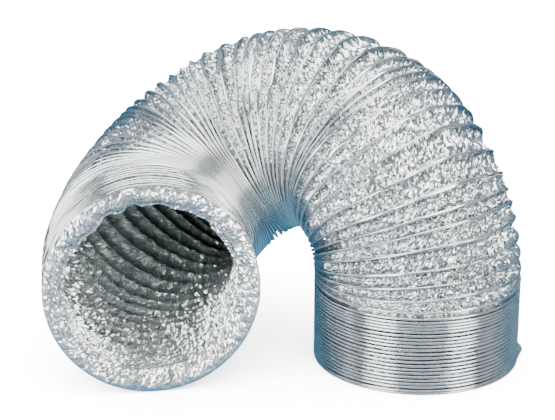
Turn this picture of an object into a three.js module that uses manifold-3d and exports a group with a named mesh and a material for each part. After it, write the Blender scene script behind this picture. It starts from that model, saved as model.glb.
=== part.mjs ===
// A length of flexible ventilation ducting, in millimetres with +Z up. One spring wire winds in a
// helix between two plies of aluminium foil. The duct stands on one end as a pushed-together stack
// of turns, arches up and over, and comes down with its open mouth on the floor, facing -Y.
// The duct is drawn in stretches that can open against each other, each with its own outer ply,
// wire and inner ply. The model's origin is the middle of its footprint, on the floor.

import * as THREE from 'three';
import Module from 'manifold-3d';

const wasm = await Module();
wasm.setup();

// Driving dimensions: millimetres, degrees and turns of wire.
const CREST_RADIUS = 78;
const PLY = 0.5;
const STACKED_PLY = 1.8;
const CLEARANCE = 0.3;
const WIRE_RADIUS = 0.6;
const PLEAT_DEPTH = 4;
const HEM_WIDTH = 13;
const ARCH_RADIUS = 92;
const ARCH_DEGREES_PER_TURN = 5;
const STACK_TURNS = 23;
const STACK_PIECES = { base_collar: 3, stack_lower: 10, stack_upper: 10 };
const MOUTH_LENGTH = 56;
const MOUTH_TURNS = 10;
// Where the duct points after each bend, as [azimuth from +X, climb above the floor], and the
// number of stretches that each bend is drawn in.
const HEADINGS = [[130, 28], [178, -30], [240, -30], [278, 0]];
const ARCH_PIECES = [2, 3, 2, 2];
// Facets around the smooth plies, and around the pleated plies and the wire.
const SMOOTH_FACETS = 24;
const HELIX_FACETS = 16;
const ARCH_SPANS = 2;

// Radii worked out from those, from the outside in.
const WIRE_CENTRE = CREST_RADIUS - PLY - CLEARANCE - 0.4 - WIRE_RADIUS;
const VALLEY_INSIDE = CREST_RADIUS - PLEAT_DEPTH - PLY;
const INNER_PLY_OUTSIDE = VALLEY_INSIDE - CLEARANCE - 0.2;
const PIVOT_RADIUS = CREST_RADIUS + 1.5;

const FOIL = { color: 0xd9dde0, metalness: 0.9, roughness: 0.32 };
const INNER_FOIL = { color: 0xa9b0b3, metalness: 0.85, roughness: 0.4 };
const STEEL = { color: 0x8d9296, metalness: 1.0, roughness: 0.3 };

// ---- The duct's route: frames along a chain of straight stretches and equal-radius bends ----

const radians = THREE.MathUtils.degToRad;

function direction(azimuth, climb) {
  const flat = Math.cos(radians(climb));
  const x = flat * Math.cos(radians(azimuth));
  const y = flat * Math.sin(radians(azimuth));
  return new THREE.Vector3(x, y, Math.sin(radians(climb)));
}

// The frame at a distance along a stretch: its point, tangent and one side of the duct.
function frameOn(stretch, distance) {
  const { from, axis } = stretch;
  if (!axis) {
    const point = from.point.clone().addScaledVector(from.tangent, distance);
    return { point, tangent: from.tangent.clone(), side: from.side.clone() };
  }
  const inward = axis.clone().cross(from.tangent);
  const centre = from.point.clone().addScaledVector(inward, ARCH_RADIUS);
  const turn = new THREE.Quaternion().setFromAxisAngle(axis, distance / ARCH_RADIUS);
  const point = from.point.clone().sub(centre).applyQuaternion(turn).add(centre);
  const tangent = from.tangent.clone().applyQuaternion(turn);
  return { point, tangent, side: from.side.clone().applyQuaternion(turn) };
}

// A stretch remembers how many turns of wire come before it and how far apart they are.
function straight(from, length, turns, turnsBefore) {
  return { from, length, axis: null, pitch: length / turns, turns, turnsBefore };
}

function bend(from, heading, turnsBefore) {
  const axis = from.tangent.clone().cross(heading).normalize();
  const length = from.tangent.angleTo(heading) * ARCH_RADIUS;
  const pitch = radians(ARCH_DEGREES_PER_TURN) * ARCH_RADIUS;
  return { from, length, axis, pitch, turns: length / pitch, turnsBefore };
}

function routeFrom(stackHeight) {
  const floor = {
    point: new THREE.Vector3(),
    tangent: new THREE.Vector3(0, 0, 1),
    side: new THREE.Vector3(-1, 0, 0),
  };
  const route = [straight(floor, stackHeight, STACK_TURNS, 0)];
  const last = () => route[route.length - 1];
  const end = () => frameOn(last(), last().length);
  const turnsSoFar = () => last().turnsBefore + last().turns;
  for (const [azimuth, climb] of HEADINGS) {
    route.push(bend(end(), direction(azimuth, climb), turnsSoFar()));
  }
  route.push(straight(end(), MOUTH_LENGTH, MOUTH_TURNS, turnsSoFar()));
  return route;
}

// The stack is as high as it takes for the mouth's crests to touch the floor.
const [unraisedMouth] = routeFrom(1).slice(-1);
const STACK_HEIGHT = 1 + CREST_RADIUS - unraisedMouth.from.point.z;
const route = routeFrom(STACK_HEIGHT);
const stack = route[0];
const mouth = route[route.length - 1];

// A point of the duct's wall: out from the frame's point by radius, at an angle round the tangent.
function wallPoint(frame, angle, radius) {
  const across = frame.tangent.clone().cross(frame.side);
  return frame.point.clone()
    .addScaledVector(frame.side, radius * Math.cos(angle))
    .addScaledVector(across, radius * Math.sin(angle));
}

function shifted(frame, distance) {
  return { ...frame, point: frame.point.clone().addScaledVector(frame.tangent, distance) };
}

// ---- Meshes ----

function geometryOf(points, triangles) {
  const geometry = new THREE.BufferGeometry().setFromPoints(points);
  geometry.setIndex(triangles.flat());
  geometry.computeVertexNormals();
  return geometry;
}

// A closed wall between an outer and an inner grid of points. Each row goes once round the duct.
// Its last column joins the first column of the row that is `climb` rows on: 0 for plain rings,
// 2 for a helix with two rows to a turn.
function wallBetween(rows, columns, climb, outerPoint, innerPoint) {
  const points = [];
  for (const pointAt of [outerPoint, innerPoint]) {
    for (let row = 0; row < rows; row++) {
      for (let column = 0; column < columns; column++) points.push(pointAt(row, column));
    }
  }
  const triangles = [];
  const quad = (a, b, c, d) => triangles.push([a, b, c], [a, c, d]);
  const index = (row, column) => (column < columns ? row * columns + column
    : (row + climb) * columns);
  const inside = rows * columns;
  for (let row = 0; row < rows - 1; row++) {
    for (let column = 0; column < columns; column++) {
      if (column === columns - 1 && row + 1 + climb > rows - 1) continue;
      const corners = [index(row, column), index(row, column + 1),
        index(row + 1, column + 1), index(row + 1, column)];
      quad(...corners);
      quad(...corners.map((corner) => corner + inside).reverse());
    }
  }
  const start = Array.from({ length: columns }, (_, column) => index(0, column));
  const end = Array.from({ length: columns }, (_, column) => index(rows - 1, column));
  for (let step = 0; step < climb; step++) {
    start.push(index(climb - step, 0));
    end.push(index(rows - 2 - step, columns - 1));
  }
  start.forEach((corner, i) => {
    const next = start[(i + 1) % start.length];
    quad(next, corner, corner + inside, next + inside);
  });
  end.forEach((corner, i) => {
    const next = end[(i + 1) % end.length];
    quad(corner, next, next + inside, corner + inside);
  });
  return geometryOf(points, triangles);
}

// A smooth tube wall through a list of frames. Its flats, not its corners, touch the radius.
function smoothWall(frames, outside, thickness, facets, firstAngle) {
  const ring = (radius) => (row, column) => {
    const angle = firstAngle + ((column + 0.5) / facets) * 2 * Math.PI;
    return wallPoint(frames[row], angle, radius / Math.cos(Math.PI / facets));
  };
  return wallBetween(frames.length, facets, 0, ring(outside), ring(outside - thickness));
}

function cutByPlane(solid, frame, keepForward) {
  const normal = frame.tangent.clone().multiplyScalar(keepForward ? 1 : -1);
  return solid.trimByPlane(normal.toArray(), normal.dot(frame.point));
}

// The outer ply over the opened turns of a bend: a crest over the wire and a valley half a turn
// on. The valleys are deep on the outside of the bend and vanish where the turns meet inside it.
function pleatedWall(piece) {
  const { stretch, startFrame, endFrame } = piece;
  const firstTurn = Math.floor(piece.firstTurn) - 2;
  const rows = 2 * (Math.ceil(piece.lastTurn) + 2 - firstTurn) + 1;
  const outward = stretch.from.tangent.clone().cross(stretch.axis);
  const across = stretch.from.tangent.clone().cross(stretch.from.side);
  const outwardAngle = Math.atan2(outward.dot(across), outward.dot(stretch.from.side));
  const surface = (inset) => (row, column) => {
    const angle = (column / HELIX_FACETS) * 2 * Math.PI;
    const turn = firstTurn + row / 2 + column / HELIX_FACETS;
    const openness = (1 + Math.cos(angle - outwardAngle)) / 2;
    const fold = row % 2 === 0 ? 0 : PLEAT_DEPTH * openness;
    const frame = frameOn(stretch, (turn - stretch.turnsBefore) * stretch.pitch);
    return wallPoint(frame, angle, CREST_RADIUS - fold - inset);
  };
  const whole = wallBetween(rows, HELIX_FACETS, 2, surface(0), surface(PLY));
  const mesh = new wasm.Mesh({
    numProp: 3,
    vertProperties: new Float32Array(whole.attributes.position.array),
    triVerts: new Uint32Array(whole.index.array),
  });
  const started = cutByPlane(new wasm.Manifold(mesh), startFrame, true);
  const cut = cutByPlane(started, endFrame, false).getMesh();
  const geometry = new THREE.BufferGeometry();
  geometry.setAttribute('position', new THREE.BufferAttribute(cut.vertProperties, 3));
  geometry.setIndex(new THREE.BufferAttribute(cut.triVerts, 1));
  geometry.computeVertexNormals();
  return geometry;
}

// One step of the wire: its centre, as far as the piece's planes allow, and its three corners.
function wireSection(piece, step) {
  const { stretch } = piece;
  const turn = step / HELIX_FACETS;
  const angle = turn * 2 * Math.PI;
  const frame = frameOn(stretch, (turn - stretch.turnsBefore) * stretch.pitch);
  const centre = wallPoint(frame, angle, WIRE_CENTRE);
  const outward = centre.clone().sub(frame.point).normalize();
  const corners = [0, 1, 2].map((corner) => {
    const around = (corner / 3) * 2 * Math.PI;
    return centre.clone()
      .addScaledVector(outward, WIRE_RADIUS * Math.cos(around))
      .addScaledVector(frame.tangent, -WIRE_RADIUS * Math.sin(around));
  });
  return { centre, corners };
}

// The wire within a piece: every step of the helix that clears both of the piece's end planes,
// from the first step after which a whole turn stays clear to the last one before which it does.
function wireRod(piece) {
  const { startFrame, endFrame, startMargin, endMargin } = piece;
  const clears = (step) => {
    const { centre } = wireSection(piece, step);
    const fromStart = centre.clone().sub(startFrame.point).dot(startFrame.tangent);
    const fromEnd = endFrame.point.clone().sub(centre).dot(endFrame.tangent);
    return fromStart > WIRE_RADIUS + startMargin && fromEnd > WIRE_RADIUS + endMargin;
  };
  let first = Math.round(piece.firstTurn * HELIX_FACETS);
  let last = Math.round(piece.lastTurn * HELIX_FACETS);
  const middle = Math.round((first + last) / 2);
  for (let step = middle; step >= first; step--) {
    if (!clears(step)) first = step + 1;
  }
  for (let step = middle; step <= last; step++) {
    if (!clears(step)) last = step - 1;
  }
  const points = [];
  for (let step = first; step <= last; step++) points.push(...wireSection(piece, step).corners);
  const triangles = [[0, 2, 1]];
  for (let base = 0; base < points.length - 3; base += 3) {
    for (let corner = 0; corner < 3; corner++) {
      const next = (corner + 1) % 3;
      triangles.push([base + corner, base + next, base + 3 + next]);
      triangles.push([base + corner, base + 3 + next, base + 3 + corner]);
    }
  }
  const top = points.length - 3;
  triangles.push([top, top + 1, top + 2]);
  return geometryOf(points, triangles);
}

// ---- The pieces of the duct, each between two parallel cuts across it ----

// The margins hold the wire and inner ply back from the hems at the duct's two ends.
function pieceOf(name, stretch, start, end) {
  const isFirst = stretch === stack && start === 0;
  const isLast = stretch === mouth;
  return {
    name,
    stretch,
    start,
    end,
    firstTurn: stretch.turnsBefore + start / stretch.pitch,
    lastTurn: stretch.turnsBefore + end / stretch.pitch,
    startFrame: shifted(frameOn(stretch, start), isFirst ? 0 : CLEARANCE / 2),
    endFrame: shifted(frameOn(stretch, end), isLast ? 0 : -CLEARANCE / 2),
    startMargin: isFirst ? PLY + CLEARANCE : 0,
    endMargin: isLast ? PLY + CLEARANCE : 0,
  };
}

const pieces = [];
let stackedTurns = 0;
for (const [name, turns] of Object.entries(STACK_PIECES)) {
  const start = stackedTurns * stack.pitch;
  stackedTurns += turns;
  pieces.push(pieceOf(name, stack, start, stackedTurns * stack.pitch));
}
ARCH_PIECES.forEach((count, i) => {
  const stretch = route[i + 1];
  for (let part = 0; part < count; part++) {
    const name = `arch_${pieces.length - 2}`;
    const ends = [part, part + 1].map((share) => (share / count) * stretch.length);
    pieces.push(pieceOf(name, stretch, ...ends));
  }
});
pieces.push(pieceOf('mouth', mouth, 0, mouth.length));
const [baseCollar] = pieces;
const mouthPiece = pieces[pieces.length - 1];

const duct = new THREE.Group();

function addMesh(name, geometry, look) {
  const mesh = new THREE.Mesh(geometry, new THREE.MeshStandardMaterial(look));
  mesh.name = name;
  duct.add(mesh);
}

// The angle, round a frame of the mouth, that points at the floor: a flat of its ply lies there.
function floorAngle({ tangent, side }) {
  return Math.atan2(-tangent.clone().cross(side).z, -side.z);
}
const mouthAngle = floorAngle(mouthPiece.endFrame);

function outerPly(piece) {
  if (piece.stretch.axis) return pleatedWall(piece);
  const firstAngle = piece === mouthPiece ? mouthAngle : 0;
  const frames = [piece.startFrame, piece.endFrame];
  return smoothWall(frames, CREST_RADIUS, PLY, SMOOTH_FACETS, firstAngle);
}

// The inner ply hangs smooth inside the wire and the valleys. Round the arch its corners line up
// with those of the pleated ply, so that it stays clear of every valley. In the stack its folds lie
// on one another, so it is thicker there and the stack carries its share of the duct's weight.
function innerPly(piece) {
  const frames = [shifted(piece.startFrame, piece.startMargin)];
  const spans = piece.stretch.axis ? ARCH_SPANS : 1;
  for (let span = 1; span < spans; span++) {
    const share = span / spans;
    frames.push(frameOn(piece.stretch, piece.start + share * (piece.end - piece.start)));
  }
  frames.push(shifted(piece.endFrame, -piece.endMargin));
  const outside = INNER_PLY_OUTSIDE * Math.cos(Math.PI / HELIX_FACETS);
  if (piece.stretch.axis) {
    return smoothWall(frames, outside, PLY, HELIX_FACETS, -Math.PI / HELIX_FACETS);
  }
  if (piece === mouthPiece) {
    return smoothWall(frames, outside, PLY, SMOOTH_FACETS, mouthAngle);
  }
  return smoothWall(frames, outside, STACKED_PLY, SMOOTH_FACETS, 0);
}

for (const piece of pieces) {
  addMesh(`outer_foil_${piece.name}`, outerPly(piece), FOIL);
  addMesh(`wire_${piece.name}`, wireRod(piece), STEEL);
  addMesh(`inner_foil_${piece.name}`, innerPly(piece), INNER_FOIL);
}

// The last pleat at each end of the duct is folded inward as a flat hem.
const HEM_OUTSIDE = CREST_RADIUS - PLY - CLEARANCE;
const baseHem = [baseCollar.startFrame, shifted(baseCollar.startFrame, PLY)];
const mouthHem = [shifted(mouthPiece.endFrame, -PLY), mouthPiece.endFrame];
addMesh('hem_base', smoothWall(baseHem, HEM_OUTSIDE, HEM_WIDTH, SMOOTH_FACETS, 0), FOIL);
addMesh('hem_mouth', smoothWall(mouthHem, HEM_OUTSIDE, HEM_WIDTH, SMOOTH_FACETS, mouthAngle), FOIL);

// The lines about which the arch opens lie on the outside of the bend, where the turns are
// already apart; turning the rest of the duct about one of them parts the turns inside the bend.
const openings = pieces.slice(3, -1).map((piece) => {
  const frame = frameOn(piece.stretch, piece.start);
  const axis = piece.stretch.axis.clone().negate();
  const outward = axis.clone().cross(frame.tangent);
  return { piece: piece.name, pivot: frame.point.addScaledVector(outward, PIVOT_RADIUS), axis };
});

const box = new THREE.Box3().setFromObject(duct);
const footprint = box.getCenter(new THREE.Vector3()).setZ(box.min.z);
duct.position.copy(footprint).negate();
const model = new THREE.Group();
model.add(duct);
model.userData = { openings, footprint, mouthHeading: mouth.from.tangent };

export default model;
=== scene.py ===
import math

import bpy
import numpy as np
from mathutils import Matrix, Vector


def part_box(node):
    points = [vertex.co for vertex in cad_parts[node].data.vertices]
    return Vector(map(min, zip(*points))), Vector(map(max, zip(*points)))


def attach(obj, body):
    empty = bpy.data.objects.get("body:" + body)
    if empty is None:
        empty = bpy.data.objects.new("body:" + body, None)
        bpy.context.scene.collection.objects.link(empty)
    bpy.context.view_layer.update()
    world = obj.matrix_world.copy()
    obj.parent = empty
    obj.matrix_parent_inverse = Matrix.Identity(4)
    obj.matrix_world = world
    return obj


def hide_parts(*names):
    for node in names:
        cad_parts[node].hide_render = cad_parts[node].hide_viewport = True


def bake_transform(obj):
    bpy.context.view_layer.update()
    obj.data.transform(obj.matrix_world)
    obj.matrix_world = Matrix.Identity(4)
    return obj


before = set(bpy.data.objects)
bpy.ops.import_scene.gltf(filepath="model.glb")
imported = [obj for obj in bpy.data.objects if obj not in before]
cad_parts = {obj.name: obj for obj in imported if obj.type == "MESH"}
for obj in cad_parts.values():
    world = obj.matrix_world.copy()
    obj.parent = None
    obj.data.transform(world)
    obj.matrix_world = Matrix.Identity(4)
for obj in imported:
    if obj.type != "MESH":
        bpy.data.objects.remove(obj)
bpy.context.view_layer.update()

# ---------------------------------------------------------------------------------------------
# The outer foil ply. Aluminium foil laminate wound over the spring wire: a narrow bead over each
# turn of the wire, and between the beads a fold that hangs inward and is finely crumpled where
# the turns stand apart. It is glued to the inner ply through the wire and runs end to end.
# ---------------------------------------------------------------------------------------------

# The duct's route, as the solids have it: a straight stack, four bends of one radius between
# the headings (azimuth, climb), and a straight mouth.
CREST_RADIUS = 0.078
ARCH_RADIUS = 0.092
DEGREES_PER_TURN = 5.0
STACK_TURNS = 23
MOUTH_TURNS = 10
MOUTH_LENGTH = 0.056
HEADINGS = [(130, 28), (178, -30), (240, -30), (278, 0)]
BODIES = ["base_collar", "stack_lower", "stack_upper",
          *[f"arch_{number}" for number in range(1, 10)], "mouth"]

base_low, base_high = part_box("outer_foil_base_collar")
base_centre = np.array((base_low + base_high) / 2) * (1, 1, 0)
stack_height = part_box("outer_foil_arch_1")[0].z - 0.00015


def direction(azimuth, climb):
    around, up = math.radians(azimuth), math.radians(climb)
    return np.array([math.cos(up) * math.cos(around), math.cos(up) * math.sin(around),
                     math.sin(up)])


def turned(vectors, axis, angle):
    """Vectors turned about an axis by an angle, or by one angle for each."""
    angle = np.asarray(angle)[..., None]
    along = (vectors @ axis)[..., None] * axis
    return (vectors * np.cos(angle) + np.cross(axis, vectors) * np.sin(angle)
            + along * (1 - np.cos(angle)))


def next_start(stretch):
    """Where the next stretch starts: arc length, point, tangent and side."""
    arc = stretch["arc"] + stretch["length"]
    point, tangent, axis = stretch["point"], stretch["tangent"], stretch["axis"]
    if axis is None:
        return dict(arc=arc, point=point + tangent * stretch["length"], tangent=tangent,
                    side=stretch["side"])
    angle = stretch["length"] / ARCH_RADIUS
    centre = point + np.cross(axis, tangent) * ARCH_RADIUS
    return dict(arc=arc, point=centre + turned(point - centre, axis, angle),
                tangent=turned(tangent, axis, angle), side=turned(stretch["side"], axis, angle))


# Each stretch: where it starts, its axis (none if straight), its length and its turns of wire.
stretches = [dict(arc=0.0, point=base_centre, tangent=np.array([0.0, 0.0, 1.0]),
                  side=np.array([-1.0, 0.0, 0.0]), axis=None, length=stack_height,
                  turns=STACK_TURNS)]
for azimuth, climb in HEADINGS:
    start = next_start(stretches[-1])
    heading = direction(azimuth, climb)
    bend = math.acos(float(np.clip(start["tangent"] @ heading, -1, 1)))
    axis = np.cross(start["tangent"], heading)
    stretches.append(dict(start, axis=axis / np.linalg.norm(axis), length=bend * ARCH_RADIUS,
                          turns=math.degrees(bend) / DEGREES_PER_TURN))
stretches.append(dict(next_start(stretches[-1]), axis=None, length=MOUTH_LENGTH,
                      turns=MOUTH_TURNS))
DUCT_LENGTH = stretches[-1]["arc"] + MOUTH_LENGTH
DUCT_TURNS = sum(stretch["turns"] for stretch in stretches)


def duct_frame(arc):
    """Centre, tangent, side and across at each arc length."""
    shape = arc.shape + (3,)
    point, tangent, side = np.zeros(shape), np.zeros(shape), np.zeros(shape)
    for number, stretch in enumerate(stretches):
        inside = arc >= stretch["arc"] - (1 if number == 0 else 0)
        if number + 1 < len(stretches):
            inside &= arc < stretches[number + 1]["arc"]
        along = arc[inside] - stretch["arc"]
        if stretch["axis"] is None:
            point[inside] = stretch["point"] + along[:, None] * stretch["tangent"]
            tangent[inside], side[inside] = stretch["tangent"], stretch["side"]
            continue
        axis, turn = stretch["axis"], along / ARCH_RADIUS
        inward = np.cross(axis, stretch["tangent"])
        centre = stretch["point"] + inward * ARCH_RADIUS
        ones = np.ones((len(along), 1))
        point[inside] = centre + turned(-inward * ARCH_RADIUS * ones, axis, turn)
        tangent[inside] = turned(stretch["tangent"] * ones, axis, turn)
        side[inside] = turned(stretch["side"] * ones, axis, turn)
    return point, tangent, side, np.cross(tangent, side)


def smooth_noise(seed, positions, cell):
    """One smooth random curve of values from -1 to 1, with a new value every cell."""
    values = np.random.default_rng(seed).uniform(-1, 1, 4000)
    place = positions / cell + 20
    left = np.floor(place).astype(int)
    share = place - left
    share = share * share * (3 - 2 * share)
    return values[left] * (1 - share) + values[left + 1] * share


# Where each turn of the wire lies along the duct. The spacing eases from one stretch to the next,
# wanders a little, and lies flat in the first and the last turn.
TABLE_STEP = 0.05
EASE_TURNS = 1.1
turn_table = np.arange(-2.0, DUCT_TURNS + 3.0, TABLE_STEP)
turn_starts = np.cumsum([0] + [stretch["turns"] for stretch in stretches])
spacing = np.zeros_like(turn_table)
for number, stretch in enumerate(stretches):
    low = -9 if number == 0 else turn_starts[number]
    high = 999 if number + 1 == len(stretches) else turn_starts[number + 1]
    inside = (turn_table >= low) & (turn_table < high)
    spacing[inside] = stretch["length"] / stretch["turns"]
ease = np.exp(-0.5 * (np.arange(-60, 61) * TABLE_STEP / EASE_TURNS) ** 2)
spacing = np.convolve(np.pad(spacing, 60, mode="edge"), ease / ease.sum(), mode="valid")
spacing *= 1 + 0.28 * smooth_noise(3, turn_table, 1.7) * np.clip((turn_table - 14) / 10, 0.4, 1)
spacing *= 1 + 0.22 * smooth_noise(4, turn_table, 0.8)
# A few turns have bunched together, with wider gaps four turns to each side: which turn, how many
# turns to each side of it, and how much closer they lie.
BUNCHES = [(35.2, 1.7, 0.55), (27.9, 1.0, 0.2), (44.5, 1.2, 0.3), (56.8, 1.3, 0.3)]
for bunch, reach, share in BUNCHES:
    hump = [np.exp(-((turn_table - bunch - shift) / reach) ** 2) for shift in (0, -4, 4)]
    spacing *= 1 - share * hump[0] + share * 0.5 * (hump[1] + hump[2])
spacing[(turn_table < 0.8) | (turn_table > DUCT_TURNS - 0.8)] *= 0.02
arc_table = np.cumsum(spacing) * TABLE_STEP
arc_table -= np.interp(0.0, turn_table, arc_table)
arc_table *= (DUCT_LENGTH - 0.002) / np.interp(DUCT_TURNS, turn_table, arc_table)
arc_table += 0.001


def arc_of(turn):
    return np.interp(turn, turn_table, arc_table)


def turn_of(arc):
    return np.interp(arc, arc_table, turn_table)


COLUMNS = 320
ROWS_PER_TURN = 16
# Across half a bead: how far out from its top, and how far in, as shares of its half width.
BEAD = [(0.0, 0.0), (0.38, 0.075), (0.72, 0.31), (0.94, 0.66), (1.0, 1.1)]
BEAD_HALF_WIDTH = 0.00098


def helix_grid(first_row, last_row, columns, rows_per_turn):
    """Crest turn, row within the turn and angle of each vertex of a strip of the helix."""
    rows = np.arange(first_row, last_row + 1)
    column = np.arange(columns)
    turn = rows[:, None] // rows_per_turn + column[None, :] / columns
    kind = np.repeat((rows % rows_per_turn)[:, None], columns, axis=1)
    angle = np.repeat((column / columns * 2 * math.pi)[None, :], len(rows), axis=0)
    return turn, kind, angle


def wall_points(arc, angle, radius):
    point, _, side, across = duct_frame(arc)
    outward = side * np.cos(angle)[..., None] + across * np.sin(angle)[..., None]
    return point + outward * radius[..., None]


def crest_gap(turn, angle):
    """Arc length at a crest, arc length to the next crest, and the gap between them out here."""
    arc = arc_of(turn)
    ahead = arc_of(turn + 1) - arc
    crest = np.full(arc.shape, CREST_RADIUS)
    laid = wall_points(arc + ahead, angle, crest) - wall_points(arc, angle, crest)
    return arc, ahead, np.maximum(np.linalg.norm(laid, axis=-1), 0.0009)


def patches(seed, turn, angle, turn_cell, angle_cells):
    """Smooth random patches over the wall, from -1 to 1, that close round the duct."""
    values = np.random.default_rng(seed).uniform(-1, 1, (400, angle_cells))
    down = turn / turn_cell + 20
    round_ = angle / (2 * math.pi) * angle_cells
    top, left = np.floor(down).astype(int), np.floor(round_).astype(int)
    a, b = down - top, round_ - left
    a, b = a * a * (3 - 2 * a), b * b * (3 - 2 * b)
    right = (left + 1) % angle_cells
    left = left % angle_cells
    upper = values[top, left] * (1 - b) + values[top, right] * b
    lower = values[top + 1, left] * (1 - b) + values[top + 1, right] * b
    return upper * (1 - a) + lower * a


def creases(seed, turn, angle, cells):
    """Two layers of slanting creases, sharp along their ridges, from -1 to 1."""
    first = patches(seed, turn, angle + 0.05 * turn, 0.5, cells)
    second = patches(seed + 1, turn, angle - 0.08 * turn, 0.27, round(cells * 1.8))
    return 0.6 * (1 - 2.6 * np.abs(first)) + 0.4 * (1 - 2.6 * np.abs(second))


def outer_points(first_row, last_row):
    turn, kind, angle = helix_grid(first_row, last_row, COLUMNS, ROWS_PER_TURN)
    arc, ahead, laid = crest_gap(turn, angle)
    openness = np.clip((laid - 0.0022) / 0.007, 0, 1)
    half = np.minimum(BEAD_HALF_WIDTH, 0.41 * laid)
    from_bead = np.minimum(kind, ROWS_PER_TURN - kind)
    on_bead = from_bead <= 4
    out, down = np.array(BEAD)[np.minimum(from_bead, 4)].transpose(2, 0, 1)
    foot = half / laid
    walk = (kind - 4) / (ROWS_PER_TURN - 8)
    share = np.where(kind <= 4, out * foot, np.where(on_bead, 1 - out * foot, 0))
    share = np.where(on_bead, share, foot + (1 - 2 * foot) * walk)
    # Packed turns part in deep narrow grooves; open ones in a wide shelf just below the beads.
    steepness = np.interp(laid, [0.004, 0.009], [0.85, 0.38])
    fold = np.clip(1 - np.abs(2 * walk - 1), 0, 1) ** steepness
    depth = np.interp(laid, [0.0009, 0.0028, 0.0045, 0.0075, 0.012],
                      [0.0022, 0.0037, 0.0058, 0.0048, 0.0038])
    depth = depth * (1 + 0.4 * patches(13, turn, angle, 1.0, 11) * openness)
    drop = np.where(on_bead, down * half, 1.1 * half + (depth - 1.1 * half) * fold)
    # Crumpling: every vertex of the fold is pushed about, more where the turns stand open.
    rows = np.arange(first_row, last_row + 1)
    shaken = np.stack([np.random.default_rng([11, row % 100000]).uniform(-1, 1, (3, COLUMNS))
                       for row in rows], axis=1)
    grown = ~on_bead * (0.10 + 0.90 * openness)
    gather = creases(25, turn + share, angle, 120)
    drop = drop - grown * (0.0007 * shaken[0] + 0.0018 * gather - 0.0006)
    angle = angle + grown * shaken[1] * 0.35 * 2 * math.pi / COLUMNS
    share = share + grown * shaken[2] * 0.35 / ROWS_PER_TURN
    # The wire itself wavers slightly along its length and in how far out it stands.
    waver = patches(7, turn, angle, 2.3, 9) * 0.16 + patches(8, turn, angle, 1.0, 23) * 0.05
    calm = np.clip((turn - 10) / 14, 0.45, 1)
    arc = arc + (share + waver * calm) * ahead
    radius = CREST_RADIUS - 0.0003 - drop + 0.0008 * patches(9, turn, angle, 1.0, 37) * openness
    # A dent has pushed the lowest turns out on one side of the base.
    pushed = np.interp(turn + share, [0, 2.0, 3.6], [0.4, 1.0, 0.0])
    radius = radius + 0.0052 * pushed * np.exp(-((angle - math.pi) / 0.12) ** 2)
    # Painted shade: the groove beside the wire is darkened in its colour, as the shadow at the foot
    # of the bead, and more so on some stretches of it.
    patchy = np.clip(0.62 + 0.6 * patches(61, turn, angle, 1.3, 7), 0.15, 1.0)
    groove_shade = np.interp(kind, [0, 3, 4, 5, 6, 7, 10, 11, 12, 13, 16],
                      [0, 0.10, 0.8, 0.7, 0.25, 0, 0.3, 0.9, 1.0, 0.8, 0])
    groove_shade = groove_shade * patchy * (0.15 + 0.85 * openness)
    return wall_points(arc, angle, radius), groove_shade


def strip_faces(rows, columns, rows_per_turn):
    """Quads over a strip of the helix: the last column joins the first column a turn further on."""
    row, column = np.meshgrid(np.arange(rows - 1), np.arange(columns), indexing="ij")
    row, column = row.ravel(), column.ravel()
    closing = column == columns - 1
    keep = ~(closing & (row + 1 + rows_per_turn > rows - 1))
    row, column, closing = row[keep], column[keep], closing[keep]
    right = np.where(closing, 0, column + 1)
    right_row = np.where(closing, row + rows_per_turn, row)
    return np.stack([row * columns + column, right_row * columns + right,
                     (right_row + 1) * columns + right, (row + 1) * columns + column], axis=1)


def sheet_mesh(name, points, faces, smooth, groove_shade=None):
    """A mesh object from points, quads, which quads are smooth, and how much painted shade each
    point carries.
    """
    mesh = bpy.data.meshes.new(name)
    used = np.unique(faces)
    renumber = np.full(len(points), -1)
    renumber[used] = np.arange(len(used))
    faces = renumber[faces]
    mesh.vertices.add(len(used))
    mesh.vertices.foreach_set("co", points[used].astype(np.float32).ravel())
    mesh.loops.add(faces.size)
    mesh.loops.foreach_set("vertex_index", faces.astype(np.int32).ravel())
    mesh.polygons.add(len(faces))
    mesh.polygons.foreach_set("loop_start", np.arange(len(faces), dtype=np.int32) * faces.shape[1])
    mesh.polygons.foreach_set("use_smooth", smooth)
    mesh.update(calc_edges=True)
    if groove_shade is not None:
        mesh.attributes.new("groove_shade", "FLOAT", "POINT").data.foreach_set(
            "value", groove_shade[used].astype(np.float32))
    mesh.validate()
    piece = bpy.data.objects.new(name, mesh)
    bpy.context.collection.objects.link(piece)
    return piece


class Shade:
    """One socket of a material's nodes. Arithmetic on it adds Math nodes."""

    def __init__(self, tree, socket=None):
        self.tree, self.socket = tree, socket

    def node(self, kind, settings=None, output=0, **inputs):
        """A new node in the tree. Inputs go by name, or by i and a number."""
        made = self.tree.nodes.new("ShaderNode" + kind)
        for key, value in (settings or {}).items():
            setattr(made, key, value)
        for key, value in inputs.items():
            place = int(key[1:]) if key[0] == "i" and key[1:].isdigit() else key.replace("_", " ")
            if isinstance(value, Shade):
                self.tree.links.new(value.socket, made.inputs[place])
            else:
                made.inputs[place].default_value = value
        return Shade(self.tree, made.outputs[output])

    def __add__(self, other):
        return self.node("Math", {"operation": "ADD"}, i0=self, i1=other)

    def __mul__(self, other):
        return self.node("Math", {"operation": "MULTIPLY"}, i0=self, i1=other)

    def mixed(self, first, second):
        """The first colour where this is 0, running to the second where it is 1."""
        return self.node("Mix", {"data_type": "RGBA"}, output=2, i0=self, i6=first, i7=second)

    def feed(self, socket):
        self.tree.links.new(self.socket, socket)


def new_metal(name):
    """A material with an empty tree, and its Principled shader set to bare metal."""
    material = bpy.data.materials.new(name)
    material.use_nodes = True
    shader = material.node_tree.nodes["Principled BSDF"]
    shader.inputs["Metallic"].default_value = 1.0
    return material, shader, Shade(material.node_tree)


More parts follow.
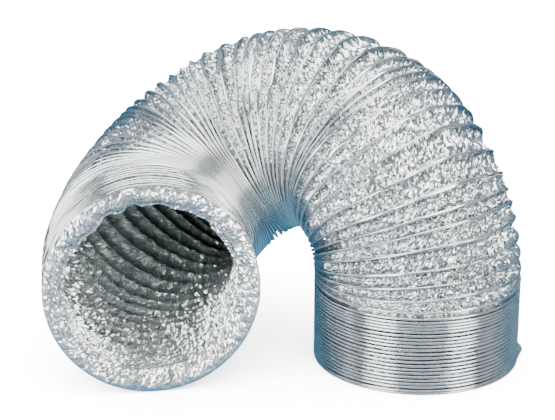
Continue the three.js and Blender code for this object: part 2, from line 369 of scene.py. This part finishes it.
def foil_material(name, bright, dull, shaded, least_rough, rough_range, bump):
    """Foil, rubbed bright and dull in patches, and darker with painted shade in the grooves beside
    the wire.
    """
    material, shader, shade = new_metal(name)
    place = shade.node("TexCoord", output="Object")
    grain = shade.node("TexNoise", Vector=place, Scale=620.0, Detail=3.0, Roughness=0.6)
    rubbed = shade.node("TexNoise", Vector=place, Scale=95.0, Detail=2.0)
    clean = (rubbed * 0.6 + grain * 0.4).mixed(dull, bright)
    # The point attribute darkens the colour with painted shade where the folds lie in shadow.
    painted_shade = shade.node("Attribute", {"attribute_name": "groove_shade"}, output="Fac")
    (painted_shade * (grain + 0.35)).mixed(clean, shaded).feed(shader.inputs["Base Color"])
    (rubbed * rough_range + least_rough).feed(shader.inputs["Roughness"])
    rise = shade.node("Bump", Height=grain, Strength=bump, Distance=0.0003)
    rise.feed(shader.inputs["Normal"])
    return material


# The darkest colour is painted shade, for the grooves beside the beads.
outer_foil = foil_material("outer_foil", bright=(0.93, 0.94, 0.94, 1), dull=(0.76, 0.78, 0.79, 1),
                           shaded=(0.20, 0.23, 0.24, 1), least_rough=0.06, rough_range=0.13,
                           bump=0.3)

# The ply is made in twelve lengths, each from the middle of one stretch to the middle of the next,
# so that each holds one joint. Their edges share their points.
cuts = [0.0, stack_height * 3 / 23, stack_height * 13 / 23, stack_height]
for stretch, parts in zip(stretches[1:-1], [2, 3, 2, 2]):
    cuts += [stretch["arc"] + stretch["length"] * part / parts for part in range(1, parts + 1)]
cuts.append(DUCT_LENGTH)
middles = [(low + high) / 2 for low, high in zip(cuts, cuts[1:])]
seams = [0.0, *middles[1:-1], DUCT_LENGTH]


def seam_rows(rows_per_turn):
    """The first row of each length of the strip, and the row after the last."""
    rows = [round((turn_of(arc) - 0.5) * rows_per_turn) for arc in seams]
    rows[0] = -rows_per_turn
    rows[-1] = round((DUCT_TURNS - 1) * rows_per_turn)
    return rows


LONGEST_BEND = 0.03


def bend_between(piece, length):
    """Works out how far a length could turn on each side of its cut, and bakes its placement into
    its points.
    """
    point, tangent, _, _ = duct_frame(np.array([cuts[length + 1]]))
    point, tangent = point[0], tangent[0]
    around = np.linspace(0, 2 * math.pi, 49)
    crest = np.full(49, CREST_RADIUS)
    # How far the nearest point of each edge lies behind and ahead of the cut.
    behind, ahead = [(sign * ((wall_points(np.full(49, edge), around, crest) - point) @ tangent))
                     for edge, sign in ((seams[length], -1), (seams[length + 1], 1))]
    low = -min(float(behind.min()), LONGEST_BEND)
    high = min(float(ahead.min()), LONGEST_BEND)
    margin = 0.35 * min(-low, high)
    # For the straight lengths the range runs over all the turns they have.
    if length in (0, 1, 11):
        margin = 0.0
        low, high = {0: (-cuts[1] + 0.002, seams[1] - cuts[1]),
                     1: (seams[1] - cuts[2], seams[2] - cuts[2]),
                     11: (0.0, MOUTH_LENGTH - 0.006)}[length]
    tuple(point + tangent * (low + margin))
    tuple(point + tangent * (high - margin))
    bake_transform(piece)


def replaced_nodes(kind, length):
    """The solids a length stands for: its first stretch's, and in the last length the mouth's."""
    return [f"{kind}_{body}" for body in BODIES[length:length + 1 if length < 11 else None]]


# The folds are flat-sided between these rows, as crumpled foil is, and smooth before and after.
CRUMPLED_FROM = 20 * ROWS_PER_TURN
CRUMPLED_TO = round((DUCT_TURNS - MOUTH_TURNS - 1) * ROWS_PER_TURN)

outer_rows = seam_rows(ROWS_PER_TURN)
for length in range(12):
    first, final = outer_rows[length], outer_rows[length + 1]
    points, groove_shade = outer_points(first, final + ROWS_PER_TURN)
    rows, columns = points.shape[:2]
    faces = strip_faces(rows, columns, ROWS_PER_TURN)
    faces = faces[faces[:, 0] // columns < final - first]
    row = faces[:, 0] // columns + first
    row_kind = row % ROWS_PER_TURN
    bead = (row_kind <= 3) | (row_kind >= ROWS_PER_TURN - 4)
    smooth = bead | (row < CRUMPLED_FROM) | (row > CRUMPLED_TO)
    piece = sheet_mesh(f"outer_foil_length_{length + 1}", points.reshape(-1, 3), faces, smooth,
                       groove_shade.ravel())
    piece.data.materials.append(outer_foil)
    bend_between(piece, length)
    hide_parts(*replaced_nodes("outer_foil", length))

# ---------------------------------------------------------------------------------------------
# The spring wire. Drawn steel wire, wound in one helix inside the beads from end to end, which
# holds the duct round and open.
# ---------------------------------------------------------------------------------------------

WIRE_RADIUS = 0.00055
WIRE_STEPS = 64
WIRE_SIDES = 6


def wire_points(first_step, last_step):
    step = np.arange(first_step, last_step + 1)
    turn = step / WIRE_STEPS
    angle = turn * 2 * math.pi
    waver = patches(7, turn, angle % (2 * math.pi), 2.3, 9) * 0.16
    waver += patches(8, turn, angle % (2 * math.pi), 1.0, 23) * 0.05
    calm = np.clip((turn - 10) / 14, 0.45, 1)
    arc = arc_of(turn)
    ahead = arc_of(turn + 1) - arc
    arc = arc + waver * calm * ahead
    point, tangent, side, across = duct_frame(arc)
    outward = side * np.cos(angle)[:, None] + across * np.sin(angle)[:, None]
    centre = point + outward * (CREST_RADIUS - 0.0012)
    around = np.arange(WIRE_SIDES) / WIRE_SIDES * 2 * math.pi
    return (centre[:, None] + WIRE_RADIUS * (np.cos(around)[None, :, None] * outward[:, None]
                                             - np.sin(around)[None, :, None] * tangent[:, None]))


wire_material, wire_shader, shade = new_metal("spring_wire")
place = shade.node("TexCoord", output="Object")
drawn = shade.node("TexNoise", Vector=place, Scale=900.0, Detail=2.0)
drawn.mixed((0.42, 0.43, 0.45, 1), (0.62, 0.63, 0.65, 1)).feed(wire_shader.inputs["Base Color"])
(drawn * 0.25 + 0.2).feed(wire_shader.inputs["Roughness"])

wire_steps = [max(0, round(turn_of(arc) * WIRE_STEPS)) for arc in seams]
wire_steps[-1] = round((DUCT_TURNS - 0.1) * WIRE_STEPS)
for length in range(12):
    points = wire_points(wire_steps[length], wire_steps[length + 1])
    count = len(points)
    step, corner = np.meshgrid(np.arange(count - 1), np.arange(WIRE_SIDES), indexing="ij")
    step, corner = step.ravel(), corner.ravel()
    after = (corner + 1) % WIRE_SIDES
    faces = np.stack([step * WIRE_SIDES + corner, step * WIRE_SIDES + after,
                      (step + 1) * WIRE_SIDES + after, (step + 1) * WIRE_SIDES + corner], axis=1)
    piece = sheet_mesh(f"spring_wire_length_{length + 1}", points.reshape(-1, 3), faces,
                       np.ones(len(faces), bool))
    piece.data.materials.append(wire_material)
    bend_between(piece, length)
    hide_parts(*replaced_nodes("wire", length))

# ---------------------------------------------------------------------------------------------
# The inner foil ply. The same laminate seen from inside the bore: it is held out at the wire
# and bulges inward between the turns in wide crumpled folds.
# ---------------------------------------------------------------------------------------------

BORE_COLUMNS = 224
BORE_ROWS = 10
FOLD_RADIUS = 0.0642


def inner_points(first_row, last_row):
    turn, kind, angle = helix_grid(first_row, last_row, BORE_COLUMNS, BORE_ROWS)
    arc, ahead, laid = crest_gap(turn, angle)
    share = kind / BORE_ROWS
    groove = np.abs(2 * share - 1) ** 1.9
    openness = np.clip((laid - 0.002) / 0.008, 0, 1)
    depth = np.minimum(0.0112, 0.0018 + 1.5 * laid)
    rows = np.arange(first_row, last_row + 1)
    shaken = np.stack([np.random.default_rng([12, row % 100000]).uniform(-1, 1, (3, BORE_COLUMNS))
                       for row in rows], axis=1)
    grown = np.where(kind == 0, 0.25, 1.0) * (0.25 + 0.75 * openness)
    gather = creases(35, turn + share, angle, 108)
    rise = grown * (0.0006 * shaken[0] + 0.0013 * gather)
    angle = angle + grown * shaken[1] * 0.3 * 2 * math.pi / BORE_COLUMNS
    share = share + grown * shaken[2] * 0.25 / BORE_ROWS
    # The last folds are drawn back behind the hems.
    from_end = np.minimum(arc, DUCT_LENGTH - arc)
    tucked = 0.006 * np.clip(1 - from_end / 0.006, 0, 1)
    radius = FOLD_RADIUS + depth * groove + rise + tucked
    # Painted shade: the fold is darkened in its colour towards the wire, where the groove lies in
    # shadow.
    groove_shade = np.clip(np.abs(2 * kind / BORE_ROWS - 1) * 2.2 - 1.2, 0, 1)
    return wall_points(arc + share * ahead, angle, radius), groove_shade


# The inner ply's duller tones are darker and greener than the outer ply's: partly the laminate's
# own tint, partly painted shade of the bore. Its darkest colour is painted shade for the grooves at
# the wire.
inner_foil = foil_material("inner_foil", bright=(0.92, 0.95, 0.94, 1), dull=(0.58, 0.64, 0.63, 1),
                           shaded=(0.40, 0.45, 0.44, 1), least_rough=0.11, rough_range=0.14,
                           bump=0.6)
inner_rows_at = seam_rows(BORE_ROWS)
for length in range(12):
    first, final = inner_rows_at[length], inner_rows_at[length + 1]
    points, groove_shade = inner_points(first, final + BORE_ROWS)
    rows, columns = points.shape[:2]
    faces = strip_faces(rows, columns, BORE_ROWS)
    faces = faces[faces[:, 0] // columns < final - first][:, ::-1]
    piece = sheet_mesh(f"inner_foil_length_{length + 1}", points.reshape(-1, 3), faces,
                       np.zeros(len(faces), bool), groove_shade.ravel())
    piece.data.materials.append(inner_foil)
    bend_between(piece, length)
    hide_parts(*replaced_nodes("inner_foil", length))

# ---------------------------------------------------------------------------------------------
# The hems. At each end the last pleat is pressed flat inward from the wire, a crumpled ring of
# foil with an uneven inner edge.
# ---------------------------------------------------------------------------------------------

HEM_WIDTH = 0.0152
HEM_COLUMNS = 280
HEM_ROWS = 12

hem_foil = foil_material("hem_foil", bright=(0.97, 0.975, 0.98, 1), dull=(0.78, 0.80, 0.81, 1),
                         shaded=(0.5, 0.5, 0.5, 1), least_rough=0.07, rough_range=0.16, bump=0.5)


def hem_piece(name, arc_at, inward_sign, bulge, tears, body, seed, node):
    random = np.random.default_rng(seed)
    share = np.linspace(0, 1, HEM_ROWS)[:, None]
    angle = np.linspace(0, 2 * math.pi, HEM_COLUMNS, endpoint=False)[None, :]
    ragged = patches(seed, np.zeros_like(angle), angle, 1.0, 37) * 0.6
    ragged = ragged + patches(seed + 2, np.zeros_like(angle), angle, 1.0, 13)
    width = HEM_WIDTH + 0.0016 * ragged
    for place, spread, depth in tears:
        away = (angle - math.radians(place) + math.pi) % (2 * math.pi) - math.pi
        width = width - depth * np.exp(-(away / spread) ** 2)
    radius = CREST_RADIUS - 0.0006 - share * width
    angles = np.repeat(angle, HEM_ROWS, axis=0)
    shaken = random.uniform(-1, 1, (3, HEM_ROWS, HEM_COLUMNS))
    loose = np.minimum(share * 4, 1)
    creased = creases(seed + 1, share * 0.8, angles, 90)
    back = 0.0026 * share ** 2 - bulge * np.sin(math.pi * np.minimum(share * 1.15, 1)) ** 0.8
    lift = back + loose * (0.0003 * shaken[0] + 0.0011 * creased)
    lift = np.maximum(lift, 0.0002 if bulge == 0 else -0.003)
    radius = radius + loose * (1 - share ** 6) * 0.0006 * shaken[1]
    angles = angles + loose * shaken[2] * 0.3 * 2 * math.pi / HEM_COLUMNS
    points = wall_points(arc_at + inward_sign * lift, angles, radius)
    row, column = np.meshgrid(np.arange(HEM_ROWS - 1), np.arange(HEM_COLUMNS), indexing="ij")
    row, column = row.ravel(), column.ravel()
    after = (column + 1) % HEM_COLUMNS
    faces = np.stack([row * HEM_COLUMNS + column, row * HEM_COLUMNS + after,
                      (row + 1) * HEM_COLUMNS + after, (row + 1) * HEM_COLUMNS + column], axis=1)
    if inward_sign > 0:
        faces = faces[:, ::-1]
    piece = sheet_mesh(name, points.reshape(-1, 3), faces, np.zeros(len(faces), bool))
    piece.data.materials.append(hem_foil)
    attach(piece, body)
    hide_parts(node)


# Where the lip's inner edge is torn back: degrees round the mouth, half width there, and depth.
MOUTH_TEARS = [(97, 0.06, 0.010), (112, 0.10, 0.0035), (47, 0.07, 0.003), (200, 0.05, 0.002),
               (10, 0.09, 0.0025)]
hem_piece("mouth_hem", DUCT_LENGTH - 0.0008, -1, 0.0026, MOUTH_TEARS, "mouth", 41, "hem_mouth")
hem_piece("base_hem", 0.0002, 1, 0.0, [], "base_collar", 51, "hem_base")

# ---------------------------------------------------------------------------------------------
# The floor: a plain pale sheet that the duct stands and lies on. The foil does not mirror it.
# ---------------------------------------------------------------------------------------------

FLOOR_SIZE = 12.0
floor_mesh = bpy.data.meshes.new("floor")
half = FLOOR_SIZE / 2
floor_mesh.from_pydata([(-half, -half, 0), (half, -half, 0), (half, half, 0), (-half, half, 0)],
                       [], [(0, 1, 2, 3)])
floor = bpy.data.objects.new("floor", floor_mesh)
bpy.context.collection.objects.link(floor)
floor_material = bpy.data.materials.new("floor")
floor_material.use_nodes = True
floor_shader = floor_material.node_tree.nodes["Principled BSDF"]
floor_shader.inputs["Base Color"].default_value = (0.93, 0.93, 0.93, 1)
floor_shader.inputs["Roughness"].default_value = 0.9
floor.data.materials.append(floor_material)
floor.visible_glossy = False

# ---------------------------------------------------------------------------------------------
# The light: two tall soft boxes in front, a broad one overhead, and a blue room all round.
# ---------------------------------------------------------------------------------------------

middle = np.array([0.0, 0.0, 0.10])


def soft_box(name, azimuth, elevation, distance, width, height, power):
    """An area light aimed at the duct from an azimuth (0 in front, 90 on the right)."""
    light = bpy.data.lights.new(name, "AREA")
    light.shape = "RECTANGLE"
    light.size, light.size_y = width, height
    light.energy = power
    lamp = bpy.data.objects.new(name, light)
    around, up = math.radians(azimuth), math.radians(elevation)
    away = np.array([math.sin(around) * math.cos(up), -math.cos(around) * math.cos(up),
                     math.sin(up)])
    lamp.location = middle + away * distance
    lamp.rotation_euler = Vector(away).to_track_quat("Z", "Y").to_euler()
    bpy.context.collection.objects.link(lamp)


soft_box("left_box", -39, 9, 1.6, 0.95, 1.2, 27)
soft_box("right_box", 47, 9, 1.6, 0.75, 1.2, 21)
soft_box("top_box", 0, 86, 1.7, 1.8, 1.2, 48)

world = bpy.data.worlds.new("room")
bpy.context.scene.world = world
world.use_nodes = True
room = Shade(world.node_tree)
background = world.node_tree.nodes["Background"]
in_foil = room.node("LightPath", output="Is Glossy Ray")
towards = room.node("TexCoord", output="Generated")
depth = room.node("SeparateXYZ", output="Y", Vector=towards)
height = room.node("SeparateXYZ", output="Z", Vector=towards)
behind = room.node("MapRange", Value=depth, From_Min=-0.1, From_Max=0.35)
low = room.node("MapRange", Value=height, From_Min=-0.02, From_Max=-0.16)
under = room.node("MapRange", Value=height, From_Min=-0.42, From_Max=-0.9)
high = room.node("MapRange", Value=height, From_Min=0.25, From_Max=0.75)
ahead = low.mixed((0.16, 0.175, 0.18, 1), (0.86, 0.93, 0.96, 1))
front = high.mixed(ahead, (0.20, 0.215, 0.22, 1))
back = high.mixed((0.042, 0.17, 0.28, 1), (0.34, 0.46, 0.54, 1))
mirrored = under.mixed(behind.mixed(front, back), (0.18, 0.42, 0.66, 1))
in_foil.mixed((24.0, 24.0, 24.0, 1), mirrored).feed(background.inputs["Color"])
background.inputs["Strength"].default_value = 1.0

# ---------------------------------------------------------------------------------------------
# The camera: a long lens, a little above the duct and square to its front.
# ---------------------------------------------------------------------------------------------

CAMERA_DISTANCE = 1.2092
CAMERA_ELEVATION = math.radians(17.87)
CAMERA_AIM = np.array([-0.0040, -0.0069, 0.1046])
camera_data = bpy.data.cameras.new("camera")
camera_data.lens = 102.2
camera_data.sensor_width = 36
camera = bpy.data.objects.new("camera", camera_data)
camera.location = CAMERA_AIM + CAMERA_DISTANCE * np.array([0, -math.cos(CAMERA_ELEVATION),
                                                           math.sin(CAMERA_ELEVATION)])
camera.rotation_euler = (math.pi / 2 - CAMERA_ELEVATION, 0, 0)
bpy.context.collection.objects.link(camera)
bpy.context.scene.camera = camera
